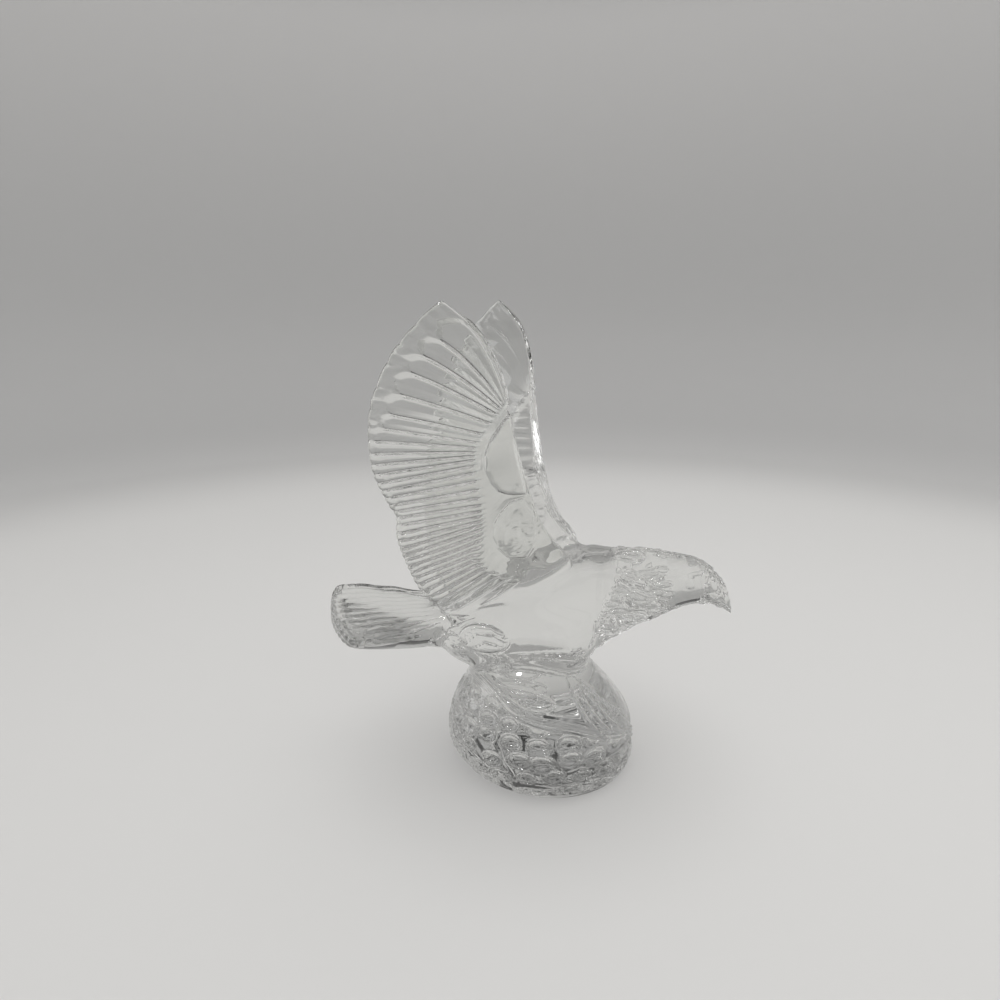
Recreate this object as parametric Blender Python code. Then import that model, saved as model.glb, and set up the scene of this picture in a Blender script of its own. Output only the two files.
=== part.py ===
"""Crystal eagle figurine: one moulded piece of clear lead crystal, 156 mm tall.

An eagle with both wings raised and its neck stretched forward rises out of a dimpled
rock, which it stands on. The eagle faces +X, its right side is towards -Y, and the
origin is in the rock's flat underside, on the eagle's middle plane.
All the sizes below are millimetres; the mesh is made in metres.
"""

import math

import bmesh
import bpy
from mathutils import Matrix, Vector

MM = 0.001

# ---------------------------------------------------------------- driving sizes

# Rock: height above the underside -> radius, and how far the middle stands off the origin.
ROCK_RADIUS = ((0, 27.8), (2.5, 29.6), (6, 31.1), (10, 31.7), (18, 30.5), (24, 27.7),
               (29, 24.0), (34, 20.0), (38, 16.3), (42, 11.5))
ROCK_MIDDLE_X = ((0, 2.2), (10, -0.7), (18, -1.2), (24, -1.8), (34, -2.9), (42, -3.6))
ROCK_MIDDLE_Y = ((0, 1.5), (10, 0.0), (42, 0.0))
ROCK_TOP = 42.0
ROCK_COLUMNS = 66
ROCK_ROWS = 17
DIMPLE_DEPTH = 0.9

# Apron: the smooth upper rock. Its lip's height, by the angle round the rock in degrees.
APRON_LIP = ((-180, 31.0), (-146, 33.5), (-125, 33.0), (-106, 30.5), (-94, 28.0), (-80, 26.3),
             (-57, 24.0), (-37, 20.0), (0, 15.0), (40, 20.0), (80, 26.0), (125, 32.0), (180, 31.0))
LIP_RADIUS = 1.0

# Feet: each toe lies on the rock from one (angle, height) to another.
NEAR_TOES = (((-119, 36.5), (-72, 38.4)), ((-121, 35.0), (-69, 34.2)), ((-116, 33.8), (-67, 30.0)))
FRONT_TOES = (((-40, 37.0), (-36, 20.5)), ((-34, 36.0), (-22, 18.5)), ((-28, 35.5), (-8, 20.0)))
TOE_RADIUS = 2.3
# Spur: the round joint that the near toes spring from.
SPUR_PLACE = (-117, 38.5)
SPUR_HALF = (3.4, 2.2, 2.2)

# Body, neck, head and beak: x -> top height, bottom height, half width, sideways bend.
# Its sections are superellipses, squarest where the wings spring from it.
BODY = ((-37, (56.5, 42.0, 5.0, -4.0)),
        (-30, (59.5, 36.0, 10.5, -2.0)),
        (-20, (62.5, 32.0, 13.0, -0.5)),
        (-8, (66.5, 30.0, 14.6, 0.0)),
        (4, (73.0, 31.5, 14.8, 0.0)),
        (13, (76.6, 36.0, 13.4, 0.0)),
        (20, (77.0, 44.5, 11.4, 0.0)),
        (27, (77.2, 50.0, 10.0, 0.0)),
        (36, (77.2, 55.2, 9.0, 0.0)),
        (44, (76.7, 59.2, 8.0, 0.0)),
        (49, (75.8, 60.9, 7.0, 0.0)),
        (53, (73.6, 61.2, 5.3, 0.0)),
        (57, (69.6, 60.1, 3.4, 0.0)),
        (59.6, (64.6, 58.9, 2.0, 0.0)),
        (60.6, (60.2, 58.2, 0.8, 0.0)))
BODY_POWER = ((-37, 2.0), (-20, 2.6), (5, 3.2), (14, 3.2), (24, 2.3), (60.6, 2.0))
BODY_SECTIONS = 34
BODY_SIDES = 24

# Wing outline in side view (x, z), by feather count from the tip's front edge to the root.
# Feathers spring from the inner line and end on the outer one.
WING_FRONT = ((0, (-8.2, 125.5)), (8, (-6.2, 114.5)), (16, (-3.6, 101.0)), (24, (0.2, 89.0)),
              (29, (5.4, 80.5)), (32, (11.5, 75.0)))
WING_INNER = ((0, (-8.5, 127.0)), (3, (-10.8, 123.5)), (6, (-16.3, 115.5)), (11, (-17.5, 108.9)),
              (16, (-16.2, 96.0)), (22, (-16.2, 86.5)), (28, (-15.6, 75.5)), (32, (-5.0, 70.5)))
WING_OUTER = ((0, (-23.3, 155.8)), (1, (-30.0, 149.0)), (3, (-38.0, 139.0)), (5, (-44.4, 126.0)),
              (9, (-46.4, 109.3)), (14, (-43.8, 96.0)), (16, (-42.3, 91.7)), (19, (-43.4, 83.0)),
              (25, (-41.2, 68.0)), (28, (-37.6, 60.0)), (32, (-28.5, 51.6)))
BROAD_FEATHERS = 6
NARROW_FEATHERS = 13
NARROW_COUNT = 2
# Wing lean: the front edge stands off the middle plane more and more towards the tip,
# and the trailing edge stands off further still.
WING_ROOT_Y = 8.8
WING_TIP_Y = 37.2
LEAN_FROM_Z = 70.0
LEAN_TO_Z = 156.0
LEAN_POWER = 1.8
SPLAY = 0.42
SPLAY_FROM_Z = 50.0
SPLAY_TO_Z = 110.0
FRONT_LINE_X = ((50, 12.0), (79.5, 6.6), (90, 0.4), (101, -3.4), (125, -8.2), (140, -11.0),
                (147, -15.0), (156, -23.5))
WING_THICK_FRONT = ((0, 3.6), (16, 5.4), (32, 6.0))
WING_THICK_OUTER = ((0, 2.4), (16, 2.3), (32, 3.6))
FEATHER_RELIEF = ((0, 1.5), (6, 1.1), (9, 0.9), (32, 0.8))
FEATHER_RIM = 0.8
# The first feathers bow forward, which rounds the wing's front edge near its tip.
FEATHER_BOW = ((0, 4.4), (2, 2.6), (6, 0.4), (32, 0.0))
BOW_PEAK = 0.64
WING_ROOT_DEPTH = 7.0
WING_ROOT_INSET = 3.0

# Tail: a fan swung towards the eagle's right and tipped a little that way.
TAIL_ROOT = (-31.0, -1.0, 51.6)
TAIL_LENGTH = 42.0
TAIL_ROOT_HALF = 6.5
TAIL_HALF = 17.5
TAIL_SWING = 33.0
TAIL_RISE = 8.0
TAIL_ROLL = 10.0
TAIL_FEATHERS = 11
TAIL_RELIEF = 1.0
TAIL_CROWN = 2.0
TAIL_HOLLOW = 0.45
TAIL_THICK = ((-0.25, 16.0), (0, 15.0), (0.3, 10.5), (0.6, 6.0), (1, 2.6))
TAIL_END_ROUND = 4.0
TAIL_SCALLOP = 0.6

CRYSTAL_COLOUR = (0.96, 0.97, 0.965, 1.0)
CRYSTAL_ROUGHNESS = 0.03
CRYSTAL_IOR = 1.55


# ---------------------------------------------------------------- curves and shells

def through(stations, at):
    """A smooth curve through (place, value) stations, read at a place; a value is a number or a tuple."""
    places = [place for place, _ in stations]
    values = [value if isinstance(value, tuple) else (value,) for _, value in stations]
    at = min(max(at, places[0]), places[-1])
    last = len(places) - 1
    first = max(i for i in range(last) if places[i] <= at)

    def slope(i):
        before, after = max(i - 1, 0), min(i + 1, last)
        run = places[after] - places[before]
        return [(b - a) / run for a, b in zip(values[before], values[after])]

    run = places[first + 1] - places[first]
    t = (at - places[first]) / run
    weights = (2 * t**3 - 3 * t**2 + 1, 3 * t**2 - 2 * t**3,
               (t**3 - 2 * t**2 + t) * run, (t**3 - t**2) * run)
    rows = (values[first], values[first + 1], slope(first), slope(first + 1))
    mixed = tuple(sum(w * row[k] for w, row in zip(weights, rows)) for k in range(len(values[0])))
    return mixed if isinstance(stations[0][1], tuple) else mixed[0]


def ease(value, low, high):
    """0 up to low, 1 from high on, and a smooth step between."""
    t = min(max((value - low) / (high - low), 0.0), 1.0)
    return t * t * (3 - 2 * t)


def mesh_object(name, points, faces, collection):
    mesh = bpy.data.meshes.new(name)
    mesh.from_pydata([Vector(point) * MM for point in points], [], faces)
    mesh.validate()
    made = bpy.data.objects.new(name, mesh)
    collection.objects.link(made)
    return made


def lofted(name, rings, collection):
    """A closed skin over rings of equally many points, each turning anticlockwise seen from the last ring."""
    count = len(rings[0])
    points = [point for ring in rings for point in ring]
    faces = [tuple(range(count))[::-1]]
    for row in range(len(rings) - 1):
        for k in range(count):
            a = row * count + k
            b = row * count + (k + 1) % count
            faces.append((a, b, b + count, a + count))
    faces.append(tuple(range(len(points) - count, len(points))))
    return mesh_object(name, points, faces, collection)


def slab(name, upper, lower, collection):
    """A closed shell between two grids of points, rows by columns, joined round their edges."""
    rows, columns = len(upper), len(upper[0])
    half = rows * columns
    points = [point for row in upper for point in row] + [point for row in lower for point in row]
    faces = []
    for i in range(rows - 1):
        for j in range(columns - 1):
            a, b = i * columns + j, i * columns + j + 1
            faces.append((a, b, b + columns, a + columns))
            faces.append((a + columns + half, b + columns + half, b + half, a + half))
    rim = list(range(columns))
    rim += [i * columns + columns - 1 for i in range(1, rows)]
    rim += [(rows - 1) * columns + j for j in range(columns - 2, -1, -1)]
    rim += [i * columns for i in range(rows - 2, 0, -1)]
    for a, b in zip(rim, rim[1:] + rim[:1]):
        faces.append((b, a, a + half, b + half))
    return mesh_object(name, points, faces, collection)


def tapered_rod(name, path, radius, tapers, collection):
    """A rod along a path, its radius scaled by one taper a point, made a closed mesh."""
    curve = bpy.data.curves.new(name, "CURVE")
    curve.dimensions = "3D"
    curve.bevel_depth = radius * MM
    curve.bevel_resolution = 1
    curve.use_fill_caps = True
    spline = curve.splines.new("POLY")
    spline.points.add(len(path) - 1)
    for point, place, taper in zip(spline.points, path, tapers):
        point.co = (*(Vector(place) * MM), 1)
        point.radius = taper
    drawn = bpy.data.objects.new(name, curve)
    collection.objects.link(drawn)
    depsgraph = bpy.context.evaluated_depsgraph_get()
    mesh = bpy.data.meshes.new_from_object(drawn.evaluated_get(depsgraph))
    bpy.data.objects.remove(drawn)
    made = bpy.data.objects.new(name, mesh)
    collection.objects.link(made)
    weld(mesh)
    return made


def weld(mesh):
    edit = bmesh.new()
    edit.from_mesh(mesh)
    bmesh.ops.remove_doubles(edit, verts=edit.verts, dist=1e-6)
    bmesh.ops.recalc_face_normals(edit, faces=edit.faces)
    edit.to_mesh(mesh)
    edit.free()


# ---------------------------------------------------------------- rock and feet

def on_rock(angle, height, lift=0.0):
    """The place on the rock's plain surface at an angle in degrees and a height, lifted off it."""
    radius = through(ROCK_RADIUS, height) + lift
    turn = math.radians(angle)
    return (through(ROCK_MIDDLE_X, height) + radius * math.cos(turn),
            through(ROCK_MIDDLE_Y, height) + radius * math.sin(turn),
            height)


def add_rock(collection):
    """The dome, whose lattice of points sinks at every third point to make the dimples."""
    rings = []
    for row in range(ROCK_ROWS + 1):
        height = ROCK_TOP * (row / ROCK_ROWS) ** 1.15
        ring = []
        for column in range(ROCK_COLUMNS):
            angle = 360 * (column + 0.5 * (row % 2)) / ROCK_COLUMNS - 180
            axial = column - (row - row % 2) // 2
            below_lip = height < through(APRON_LIP, angle) - 2.0
            pit = (axial - row) % 3 == 0 and row > 0 and below_lip
            ring.append(on_rock(angle, height, -DIMPLE_DEPTH if pit else 0.0))
        rings.append(ring)
    points = [point for ring in rings for point in ring]
    faces = [tuple(range(ROCK_COLUMNS))[::-1]]
    for row in range(ROCK_ROWS):
        for k in range(ROCK_COLUMNS):
            a, b = row * ROCK_COLUMNS + k, row * ROCK_COLUMNS + (k + 1) % ROCK_COLUMNS
            c, d = a + ROCK_COLUMNS, b + ROCK_COLUMNS
            faces += [(a, b, c), (b, d, c)] if row % 2 == 0 else [(a, b, d), (a, d, c)]
    faces.append(tuple(range(len(points) - ROCK_COLUMNS, len(points))))
    return mesh_object("rock", points, faces, collection)


def add_lip(collection):
    steps = 44
    path = []
    for step in range(steps + 1):
        angle = 360 * step / steps - 180
        path.append(on_rock(angle, through(APRON_LIP, angle), -0.2))
    half = steps // 2
    tapers = [1.0] * (half + 2)
    tapered_rod("lip_right", path[:half + 2], LIP_RADIUS, tapers, collection)
    tapered_rod("lip_left", path[half:], LIP_RADIUS, tapers[:steps + 1 - half], collection)


def add_toes(collection):
    """Each toe is a leaf-shaped rod, widest before its middle and pointed at its claw."""
    steps = 7
    for number, (start, end) in enumerate(NEAR_TOES + FRONT_TOES):
        path, tapers = [], []
        for step in range(steps + 1):
            t = step / steps
            angle = start[0] + (end[0] - start[0]) * t
            height = start[1] + (end[1] - start[1]) * t
            path.append(on_rock(angle, height, -0.5))
            tapers.append(0.25 + 0.75 * math.sin(math.pi * t ** 0.8) ** 0.8)
        tapered_rod(f"toe_{number}", path, TOE_RADIUS, tapers, collection)


def add_spur(collection):
    bpy.ops.mesh.primitive_uv_sphere_add(segments=12, ring_count=8, radius=1.0)
    made = bpy.context.object
    made.name = "spur"
    made.data.transform(Matrix.Diagonal((*(half * MM for half in SPUR_HALF), 1)))
    made.data.transform(Matrix.Translation(Vector(on_rock(*SPUR_PLACE)) * MM))
    for other in made.users_collection:
        other.objects.unlink(made)
    collection.objects.link(made)


# ---------------------------------------------------------------- body, neck and head

def add_body(collection):
    first, last = BODY[0][0], BODY[-1][0]
    rings = []
    for section in range(BODY_SECTIONS + 1):
        t = section / BODY_SECTIONS
        x = first + (last - first) * (t + 0.06 * math.sin(2 * math.pi * t) * t)
        top, bottom, half_width, bend = through(BODY, x)
        middle, half_height = (top + bottom) / 2, (top - bottom) / 2
        power = 2 / through(BODY_POWER, x)
        ring = []
        for k in range(BODY_SIDES):
            turn = 2 * math.pi * (k + 0.5) / BODY_SIDES
            side, up = (math.copysign(abs(part) ** power, part)
                        for part in (math.cos(turn), math.sin(turn)))
            ring.append((x, bend + half_width * side, middle + half_height * up))
        rings.append(ring)
    return lofted("body", rings, collection)


# ---------------------------------------------------------------- wings

def wing_y(x, z):
    """How far the wing's middle surface stands off the middle plane."""
    lean = min(max((z - LEAN_FROM_Z) / (LEAN_TO_Z - LEAN_FROM_Z), 0.0), 1.0) ** LEAN_POWER
    front = WING_ROOT_Y + (WING_TIP_Y - WING_ROOT_Y) * lean
    splay = SPLAY * ease(z, SPLAY_FROM_Z, SPLAY_TO_Z)
    return front + splay * (through(FRONT_LINE_X, z) - x)


def feather_columns():
    """(feather count, is it a ridge) from the tip to the root: broad feathers, then narrow ones."""
    borders = list(range(BROAD_FEATHERS + 1))
    borders += [BROAD_FEATHERS + NARROW_COUNT * (n + 1) for n in range(NARROW_FEATHERS)]
    columns = [(borders[0], False)]
    for before, after in zip(borders, borders[1:]):
        columns += [((before + after) / 2, True), (after, False)]
    return columns


def bowed(share):
    """0 at a feather's two ends and 1 at the peak of its bow."""
    t = share / BOW_PEAK if share < BOW_PEAK else (1 - share) / (1 - BOW_PEAK)
    return math.sin(math.pi / 2 * t)


def wing_grids(side):
    """The wing's outer and inner faces, one row a feather line, from its front edge to the feather ends."""
    outer, inner = [], []
    for count, ridge in feather_columns():
        front, spring, end = (Vector(through(line, count))
                              for line in (WING_FRONT, WING_INNER, WING_OUTER))
        end -= (end - spring).normalized() * (0.0 if ridge else FEATHER_RIM)
        relief = through(FEATHER_RELIEF, count) if ridge else 0.0
        bow = through(FEATHER_BOW, count)
        shares = (0.12, 0.4, 0.7, 1.0)
        places = [front, front.lerp(spring, 0.75)]
        places += [spring.lerp(end, share) + Vector((bow * bowed(share), 0)) for share in shares]
        reliefs = (0.0, 0.0, 0.8, 1.0, 1.0, 0.6)
        thick_front = through(WING_THICK_FRONT, count)
        thick_outer = through(WING_THICK_OUTER, count)
        outer_row, inner_row = [], []
        for place, share, t in zip(places, reliefs, (0.0, 0.3, 0.42, 0.6, 0.8, 1.0)):
            x, z = place
            y = wing_y(x, z)
            across = Vector((-(wing_y(x + 1, z) - y), 1.0, -(wing_y(x, z + 1) - y))).normalized()
            thick = thick_front + (thick_outer - thick_front) * t
            raised = relief * share
            for row, way in ((outer_row, 1), (inner_row, -1)):
                point = Vector((x, y, z)) + across * way * (thick / 2 + raised / 2)
                row.append((point.x, side * point.y, point.z))
        outer.append(outer_row)
        inner.append(inner_row)
    for grid in (outer, inner):
        grid.append([(x, y - side * WING_ROOT_INSET, z - WING_ROOT_DEPTH) for x, y, z in grid[-1]])
    return outer, inner


def add_wing(name, side, collection):
    outer, inner = wing_grids(side)
    if side < 0:
        return slab(name, inner, outer, collection)
    return slab(name, outer, inner, collection)


# ---------------------------------------------------------------- tail

def add_tail(collection):
    """A fan of feathers on top of a wedge that thickens into the rump."""
    turned = (Matrix.Rotation(math.radians(TAIL_SWING), 3, "Z")
              @ Matrix.Rotation(math.radians(TAIL_RISE), 3, "Y")
              @ Matrix.Rotation(math.radians(TAIL_ROLL), 3, "X"))
    back, left, up = (turned @ Vector(way) for way in ((-1, 0, 0), (0, 1, 0), (0, 0, 1)))
    columns = 2 * TAIL_FEATHERS
    upper, lower = [], []
    for along in (-0.25, 0.0, 0.2, 0.4, 0.65, 0.85, 1.0):
        reach = max(along, 0.0)
        half = TAIL_ROOT_HALF + (TAIL_HALF - TAIL_ROOT_HALF) * math.sin(math.pi / 2 * reach ** 0.8)
        thick = through(TAIL_THICK, along)
        upper_row, lower_row = [], []
        for column in range(columns + 1):
            b = 2 * column / columns - 1
            ridge = column % 2 == 1
            shorter = TAIL_END_ROUND * b * b + (0.0 if ridge else TAIL_SCALLOP)
            crown = TAIL_CROWN * (1 - b * b) * (1 - reach)
            relief = TAIL_RELIEF * reach ** 0.5 if ridge else 0.0
            middle = Vector(TAIL_ROOT) + back * (TAIL_LENGTH * along - shorter * reach) + left * half * b
            upper_row.append(middle + up * (crown + relief))
            lower_row.append(middle - up * thick * (1 - TAIL_HOLLOW * b * b * (1 - reach)))
        upper.append(upper_row)
        lower.append(lower_row)
    return slab("tail", lower, upper, collection)


# ---------------------------------------------------------------- the whole figurine

def crystal():
    material = bpy.data.materials.new("crystal")
    material.use_nodes = True
    shader = material.node_tree.nodes["Principled BSDF"]
    shader.inputs["Base Color"].default_value = CRYSTAL_COLOUR
    shader.inputs["Roughness"].default_value = CRYSTAL_ROUGHNESS
    shader.inputs["Metallic"].default_value = 0.0
    shader.inputs["IOR"].default_value = CRYSTAL_IOR
    shader.inputs["Transmission Weight"].default_value = 1.0
    return material


def new_collection(name):
    made = bpy.data.collections.new(name)
    bpy.context.scene.collection.children.link(made)
    return made


def main():
    for old in list(bpy.data.objects):
        bpy.data.objects.remove(old)
    whole = new_collection("crystal_eagle_figurine")
    forms = new_collection("joined_forms")

    eagle = add_body(whole)
    eagle.name = "crystal_eagle"
    eagle.data.materials.append(crystal())

    add_rock(forms)
    add_lip(forms)
    add_toes(forms)
    add_spur(forms)
    add_wing("right_wing", -1, forms)
    add_wing("left_wing", 1, forms)
    add_tail(forms)
    for form in forms.objects:
        form.hide_render = True
        form.display_type = "WIRE"

    join = eagle.modifiers.new("one moulded piece", "BOOLEAN")
    join.operation = "UNION"
    join.operand_type = "COLLECTION"
    join.collection = forms
    join.solver = "EXACT"


main()
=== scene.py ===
"""Crystal eagle figurine: one moulded piece of clear lead crystal on a pale table.

The forms of the figurine are sculpted one by one, pressed with their repeated relief, and
fused into one continuous skin of glass. The eagle faces +X. Its right side, towards -Y, is
the near one, and its left side the far one. Sizes are millimetres, which MM turns into
metres, apart from those of the lights and the camera.
"""

import math

import bpy
import numpy as np
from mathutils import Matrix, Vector


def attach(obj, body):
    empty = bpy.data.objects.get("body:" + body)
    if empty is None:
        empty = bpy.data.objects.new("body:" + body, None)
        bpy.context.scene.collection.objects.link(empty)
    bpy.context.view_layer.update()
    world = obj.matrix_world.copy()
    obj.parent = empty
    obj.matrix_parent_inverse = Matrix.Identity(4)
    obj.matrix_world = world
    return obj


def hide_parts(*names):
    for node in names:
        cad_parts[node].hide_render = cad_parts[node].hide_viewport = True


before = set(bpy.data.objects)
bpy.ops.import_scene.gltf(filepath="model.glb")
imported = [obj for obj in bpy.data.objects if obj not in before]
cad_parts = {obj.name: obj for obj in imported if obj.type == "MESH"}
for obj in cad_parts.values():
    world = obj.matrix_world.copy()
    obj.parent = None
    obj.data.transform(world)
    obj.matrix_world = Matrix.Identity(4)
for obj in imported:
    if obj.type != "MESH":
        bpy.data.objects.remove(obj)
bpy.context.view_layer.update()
MM = 0.001


# ---- the rock
# The rock is the foot of the figurine: an egg cut flat below. Thumbprint dimples cover it up
# to a rippled lip, and above the lip it is a smooth apron, which the eagle's feet grip.

ROCK_RADIUS = ((0, 27.8), (2.5, 29.6), (6, 31.1), (10, 31.7), (18, 30.5), (24, 27.7),
               (29, 24.0), (34, 20.0), (38, 16.3), (42, 11.5))
ROCK_MIDDLE_X = ((0, 2.2), (10, -0.7), (18, -1.2), (24, -1.8), (34, -2.9), (42, -3.6))
ROCK_MIDDLE_Y = ((0, 1.5), (10, 0.0), (42, 0.0))
ROCK_TOP = 42.0
ROCK_COLUMNS = 300
ROWS_BELOW_LIP = 44
ROWS_OF_LIP = 16
ROWS_OF_APRON = 34
LIP_BAND = (-2.8, 2.6)
APRON_LIP = ((-180, 31.0), (-146, 33.5), (-125, 33.0), (-106, 30.5), (-94, 28.0), (-80, 26.3),
             (-57, 24.0), (-37, 20.0), (0, 15.0), (40, 20.0), (80, 26.0), (125, 32.0), (180, 31.0))
# Toes: leaf shapes from one (angle, height) to another, with their half width and height.
TOES = (((-119, 37.0), (-70, 38.6), 1.7, 0.5), ((-121, 35.2), (-67, 34.6), 2.1, 0.6),
        ((-119, 33.6), (-64, 30.4), 2.8, 0.7), ((-116, 32.2), (-88, 28.0), 1.6, 0.5),
        ((-44, 39.0), (-21, 15.0), 5.2, 0.4), ((-37, 34.0), (-27, 19.5), 1.7, 0.35),
        ((-31, 33.0), (-15, 18.0), 1.9, 0.35), ((-24, 30.0), (-6, 15.0), 1.8, 0.35),
        ((-14, 22.0), (-2, 9.5), 2.0, 1.1))
TOE_OVERLAP = 0.4
SPUR = (-117, 38.5)
SPUR_RADIUS = 2.6
SPUR_HEIGHT = 1.7
LIP_SWELL = 0.55
LIP_RIPPLE = 0.20
LIP_RIPPLE_PITCH = 1.45
# Dimples: rows of ovals round the rock, as (rise, how many, half width, half height, depth).
DIMPLE_ROWS = ((5.4, 16, 5.3, 2.2, 0.8), (11.2, 22, 3.1, 1.9, 0.75), (16.4, 22, 3.5, 2.2, 0.8),
               (22.1, 21, 3.4, 2.3, 0.8), (27.7, 20, 3.2, 2.2, 0.75), (33.0, 18, 3.0, 2.1, 0.65))
DIMPLE_STAGGER = 0.37
DIMPLE_RIM = 0.18
THUMBPRINTS = {"Depth": 1.5, "Wander": 1.0}
# Outlines are stored in the glass, for the shader to cut: this number on the outline itself,
# and 1 less for each millimetre outside it. FAR is out of their reach.
OUTLINE_AT = 2.0
FAR = 9.0


def through(stations, at):
    """A smooth curve through (place, value) stations, read at an array of places."""
    places = np.array([place for place, _ in stations], float)
    values = np.array([value for _, value in stations], float)
    values = values.reshape(len(places), -1)
    slopes = np.gradient(values, axis=0)
    slopes[1:-1] = (values[2:] - values[:-2]) / (places[2:] - places[:-2])[:, None]
    slopes[0] = (values[1] - values[0]) / (places[1] - places[0])
    slopes[-1] = (values[-1] - values[-2]) / (places[-1] - places[-2])
    at = np.clip(np.asarray(at, float), places[0], places[-1])
    first = np.clip(np.searchsorted(places, at, side="right") - 1, 0, len(places) - 2)
    run = (places[first + 1] - places[first])[..., None]
    t = ((at - places[first]) / run[..., 0])[..., None]
    found = ((2 * t**3 - 3 * t**2 + 1) * values[first] + (3 * t**2 - 2 * t**3) * values[first + 1]
             + (t**3 - 2 * t**2 + t) * run * slopes[first] + (t**3 - t**2) * run * slopes[first + 1])
    return found[..., 0] if found.shape[-1] == 1 else found


def ease(value, low, high):
    """0 up to low, 1 from high on, and a smooth step between."""
    t = np.clip((value - low) / (high - low), 0, 1)
    return t * t * (3 - 2 * t)


def bump(value, middle, width):
    """A smooth hump of height 1."""
    return np.exp(-((value - middle) / width) ** 2)


def dome(away):
    """Half a ball of height 1 over places less than 1 away."""
    return np.sqrt(np.clip(1 - away * away, 0, 1))


def skin(name, points, values=None, capped=True):
    """An object over rows of points in millimetres, each row joined round."""
    rows, columns = points.shape[:2]
    row_starts = np.arange(rows - 1)[:, None] * columns
    a = (row_starts + np.arange(columns)[None, :]).ravel()
    b = (row_starts + (np.arange(columns)[None, :] + 1) % columns).ravel()
    faces = np.stack([a, b, b + columns, a + columns], 1).tolist()
    if capped:
        faces.append(list(range(columns))[::-1])
        faces.append(list(range((rows - 1) * columns, rows * columns)))
    mesh = bpy.data.meshes.new(name)
    mesh.from_pydata((points.reshape(-1, 3) * MM).tolist(), [], faces)
    for label, value in (values or {}).items():
        held = mesh.attributes.new(label, "FLOAT", "POINT")
        held.data.foreach_set("value", np.ascontiguousarray(value, np.float32).ravel())
    made = bpy.data.objects.new(name, mesh)
    bpy.context.scene.collection.objects.link(made)
    return made


def outward(points):
    """Unit normals of a grid whose rows join round."""
    along = np.gradient(points, axis=0)
    round_it = np.roll(points, -1, axis=1) - np.roll(points, 1, axis=1)
    normal = np.cross(round_it, along)
    return normal / (np.linalg.norm(normal, axis=2, keepdims=True) + 1e-12)


def leaf(along, across, half_width, height):
    """A leaf-shaped ridge, and how far each place is outside its outline. Along runs 0 to 1."""
    inside = np.clip(along, 0.0, 1.0)
    half = half_width * np.sin(math.pi * inside ** 1.4) ** 0.65 + 0.05
    q = np.abs(across) / half
    ends = ease(along, -0.03, 0.0) * (1 - ease(along, 1.0, 1.03))
    ridge = dome(q) * height
    vein = 0.25 * height * bump(across, 0, 0.2 * half_width) * (q < 1)
    away = np.where((along > 0) & (along < 1), np.abs(across) - half, FAR)
    return ends * (ridge - vein - 0.2 * bump(q, 1.12, 0.12)), away


class Wire:
    """A socket that Python's operators work on: each adds the Math node it stands for."""

    def __init__(self, tree, socket):
        self.tree = tree
        self.socket = socket

    def node(self, kind, settings=None, sockets=None, output=0):
        """Any other node: its settings are set first, then values or links go into its sockets."""
        made = self.tree.nodes.new(kind)
        for name, value in (settings or {}).items():
            setattr(made, name, value)
        for name, value in (sockets or {}).items():
            if isinstance(value, Wire):
                self.tree.links.new(value.socket, made.inputs[name])
            else:
                made.inputs[name].default_value = value
        return Wire(self.tree, made.outputs[output])

    def math(self, operation, *others):
        """A Math node on this wire, or on this wire and another."""
        return self.node("ShaderNodeMath", {"operation": operation}, dict(enumerate((self, *others))))

    def __add__(self, other):
        return self.math("ADD", other)

    __radd__ = __add__

    def __sub__(self, other):
        return self.math("SUBTRACT", other)

    def __rsub__(self, other):
        return self.node("ShaderNodeMath", {"operation": "SUBTRACT"}, {0: other, 1: self})

    def __mul__(self, other):
        return self.math("MULTIPLY", other)

    __rmul__ = __mul__

    def __truediv__(self, other):
        return self.math("DIVIDE", other)

    def __pow__(self, other):
        return self.math("POWER", other)

    def step(self, low, high):
        """0 up to low, 1 from high on, and a smooth step between."""
        return self.node("ShaderNodeMapRange", {"interpolation_type": "SMOOTHSTEP"},
                         {"Value": self, "From Min": low, "From Max": high})

    def noise(self, scale, detail):
        """Smooth noise between 0 and 1 at the places on this wire."""
        return self.node("ShaderNodeTexNoise", {}, {"Vector": self, "Scale": scale, "Detail": detail})

    def bell(self):
        """1 at zero, and a smooth fall on both sides of it."""
        return (self * self * -1.0).math("EXPONENT")

    def chances(self, how_many, seed, least=-1.0, most=1.0):
        """Random numbers that go with this wire's whole number, one for each seed in turn."""
        return [self.node("FunctionNodeRandomValue", {"data_type": "FLOAT"},
                          {2: least, 3: most, "ID": self, "Seed": seed + k}, output=1)
                for k in range(how_many)]


def press_tree(name, sizes):
    """Starts a Geometry Nodes tree with an input for each size. Gives its geometry and sizes."""
    kinds = {float: "NodeSocketFloat", int: "NodeSocketInt", bpy.types.Object: "NodeSocketObject"}
    tree = bpy.data.node_groups.new(name, "GeometryNodeTree")
    tree.interface.new_socket("Geometry", in_out="INPUT", socket_type="NodeSocketGeometry")
    tree.interface.new_socket("Geometry", in_out="OUTPUT", socket_type="NodeSocketGeometry")
    for label, size in sizes.items():
        kind = next(kinds[held] for held in kinds if isinstance(size, held))
        tree.interface.new_socket(label, in_out="INPUT", socket_type=kind)
    entry = tree.nodes.new("NodeGroupInput")
    inputs = {socket.name: Wire(tree, socket) for socket in entry.outputs if socket.name}
    return inputs["Geometry"], inputs


def read(wire, *labels):
    """Values that were stored at each point, by their names."""
    return [wire.node("GeometryNodeInputNamedAttribute", {"data_type": "FLOAT"}, {"Name": label})
            for label in labels]


def keep(geometry, label, value):
    """Stores a value of each point under a name, 0 where it is less."""
    return geometry.node("GeometryNodeStoreNamedAttribute", {"data_type": "FLOAT"},
                         {"Geometry": geometry, "Name": label, "Value": value.math("MAXIMUM", 0.0)})


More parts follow.
